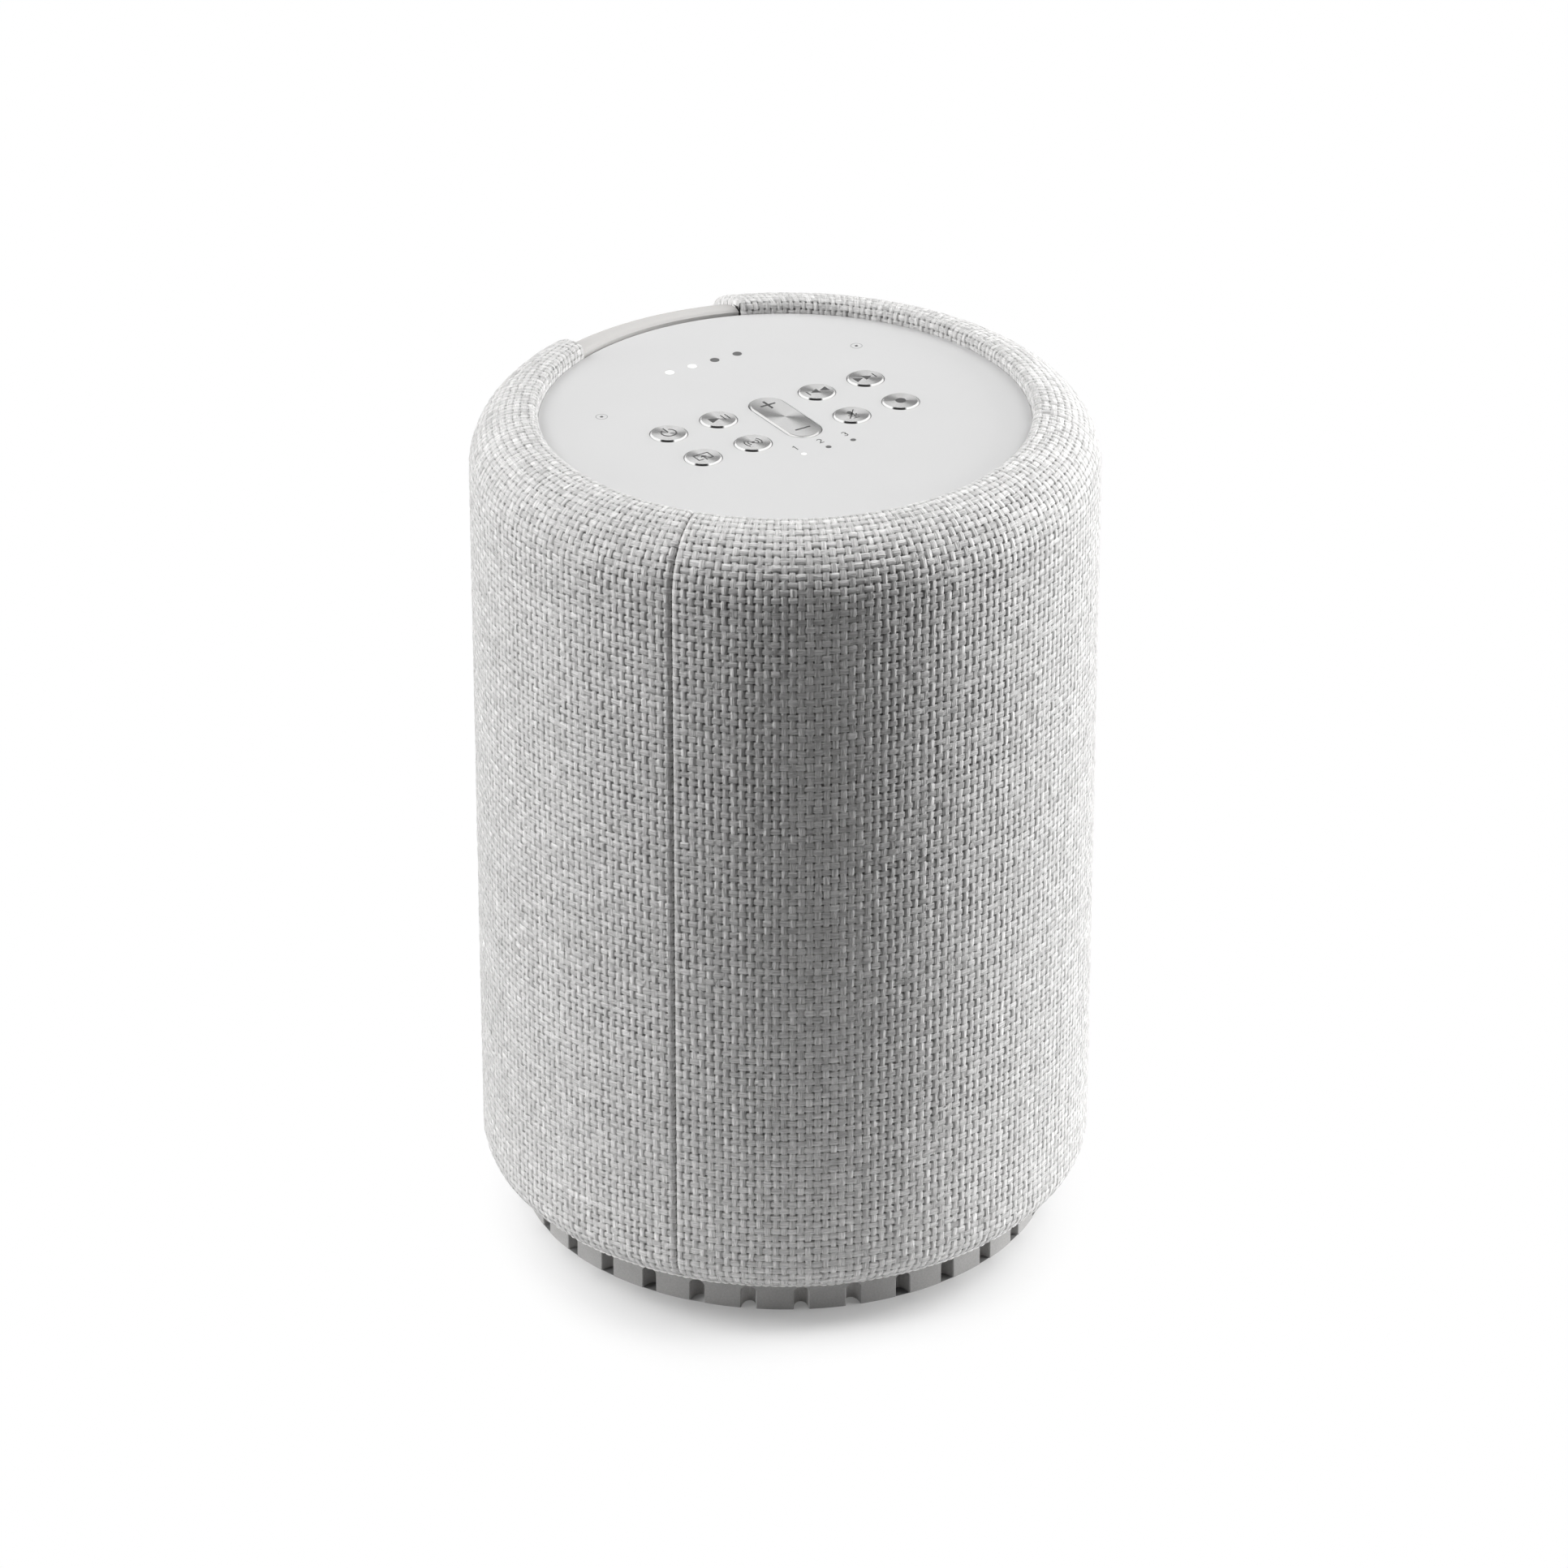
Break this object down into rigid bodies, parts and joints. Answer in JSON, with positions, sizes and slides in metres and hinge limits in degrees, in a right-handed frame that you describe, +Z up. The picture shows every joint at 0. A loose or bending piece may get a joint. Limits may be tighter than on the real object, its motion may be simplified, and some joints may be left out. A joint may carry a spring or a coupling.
{
  "type": "smart speaker",
  "caption": "Cylindrical smart speaker wrapped in woven fabric, with a flat metal control plate of push buttons, a rocking volume key, a smooth rear spine and a notched foot.",
  "frame": {"origin": "on the axis of the cylinder at the underside of the foot pad", "axes": "+Z up; the front of the controls faces -Y, the spine with the sockets faces +Y"},
  "size_m": [0.135, 0.133, 0.19],
  "materials": {
    "fabric": "plain weave of light grey melange ribbon yarns",
    "spine_plastic": "smooth satin warm grey",
    "plate_metal": "very even matte silver white",
    "button_metal": "circular spun face with a bright chamfer",
    "foot_rubber": "matte warm grey",
    "dark_plastic": "moulded",
    "black_plastic": "moulded",
    "foam": "closed-cell foam tape",
    "steel": "zinc plated",
    "black_steel": "black oxide",
    "circuit_board": "solder mask",
    "light_pipe": "clear to milky",
    "black_rubber": "matte",
    "ribbon": "flat flexible cable",
    "wadding": "polyester wadding",
    "basket_metal": "pressed steel, powder coated",
    "ferrite": "ground ferrite",
    "neodymium": "nickel plated",
    "copper": "enamelled winding",
    "spider_cloth": "resin-stiffened cloth",
    "cone_paper": "pressed pulp",
    "dome_silk": "doped silk",
    "heat_sink_aluminium": "extruded",
    "capacitor_can": "sleeved can",
    "wire": "insulated"
  },
  "bodies": {
    "root": {"fabric_front": "fabric", "fabric_left": "fabric", "fabric_right": "fabric", "grille_frame": "dark_plastic", "spine_panel": "spine_plastic", "socket_panel": "spine_plastic", "port_panel": "spine_plastic", "top_plate": "plate_metal", "plate_adhesive": "foam", "foot_pad": "foot_rubber", "base_plate": "dark_plastic", "base_screws": "steel", "top_deck": "dark_plastic", "control_board": "circuit_board", "tact_switches": "black_plastic", "light_pipes": "light_pipe", "microphones": "steel", "mic_gaskets": "black_rubber", "board_screws": "steel", "ribbon_cable": "ribbon", "cabinet": "dark_plastic", "cabinet_lid": "dark_plastic", "cabinet_gasket": "black_rubber", "cabinet_screws": "steel", "damping_wool": "wadding", "port_tube": "black_plastic", "woofer_basket": "basket_metal", "woofer_gasket": "foam", "woofer_top_plate": "steel", "woofer_magnet": "ferrite", "woofer_yoke": "steel", "woofer_spider": "spider_cloth", "woofer_surround": "black_rubber", "woofer_screws": "black_steel", "tweeter_faceplate": "black_plastic", "tweeter_magnet": "neodymium", "tweeter_cup": "steel", "tweeter_screws": "black_steel", "main_board": "circuit_board", "heat_sink": "heat_sink_aluminium", "capacitors": "capacitor_can", "antennas": "black_plastic", "speaker_wires": "wire", "input_board": "circuit_board", "dc_inlet": "black_plastic", "aux_jack": "black_plastic"},
    "button_power": {"button_power": "button_metal"},
    "button_play": {"button_play": "button_metal"},
    "button_previous": {"button_previous": "button_metal"},
    "button_next": {"button_next": "button_metal"},
    "button_cast": {"button_cast": "button_metal"},
    "button_wireless": {"button_wireless": "button_metal"},
    "button_mic_mute": {"button_mic_mute": "button_metal"},
    "button_favorite": {"button_favorite": "button_metal"},
    "volume_rocker": {"volume_rocker": "button_metal"},
    "reset_button": {"reset_button": "black_plastic"},
    "woofer_motor": {"woofer_cone": "cone_paper", "voice_coil": "copper", "dust_cap": "cone_paper"},
    "tweeter_motor": {"tweeter_dome": "dome_silk"}
  },
  "joints": [
    {"name": "power_press", "type": "slide", "parent": "root", "child": "button_power", "axis": [0, 0, -1], "range_m": [0, 0.0005], "stiffness_N_per_m": 1000},
    {"name": "play_press", "type": "slide", "parent": "root", "child": "button_play", "axis": [0, 0, -1], "range_m": [0, 0.0005], "stiffness_N_per_m": 1000},
    {"name": "previous_press", "type": "slide", "parent": "root", "child": "button_previous", "axis": [0, 0, -1], "range_m": [0, 0.0005], "stiffness_N_per_m": 1000},
    {"name": "next_press", "type": "slide", "parent": "root", "child": "button_next", "axis": [0, 0, -1], "range_m": [0, 0.0005], "stiffness_N_per_m": 1000},
    {"name": "cast_press", "type": "slide", "parent": "root", "child": "button_cast", "axis": [0, 0, -1], "range_m": [0, 0.0005], "stiffness_N_per_m": 1000},
    {"name": "wireless_press", "type": "slide", "parent": "root", "child": "button_wireless", "axis": [0, 0, -1], "range_m": [0, 0.0005], "stiffness_N_per_m": 1000},
    {"name": "mic_mute_press", "type": "slide", "parent": "root", "child": "button_mic_mute", "axis": [0, 0, -1], "range_m": [0, 0.0005], "stiffness_N_per_m": 1000},
    {"name": "favorite_press", "type": "slide", "parent": "root", "child": "button_favorite", "axis": [0, 0, -1], "range_m": [0, 0.0005], "stiffness_N_per_m": 1000},
    {"name": "volume_rock", "type": "hinge", "parent": "root", "child": "volume_rocker", "pos_m": [0, 0, 0.1832], "axis": [1, 0, 0], "range_deg": [-2, 2], "stiffness_Nm_per_rad": 0.2},
    {"name": "reset_press", "type": "slide", "parent": "root", "child": "reset_button", "axis": [0, -1, 0], "range_m": [0, 0.0005], "stiffness_N_per_m": 500},
    {"name": "woofer_throw", "type": "slide", "parent": "root", "child": "woofer_motor", "axis": [0, 1, 0], "range_m": [-0.002, 0.002], "stiffness_N_per_m": 1500, "deforming": ["woofer_surround", "woofer_spider"]},
    {"name": "tweeter_throw", "type": "slide", "parent": "root", "child": "tweeter_motor", "axis": [0, 1, 0], "range_m": [-0.00025, 0.00025], "stiffness_N_per_m": 1500}
  ]
}
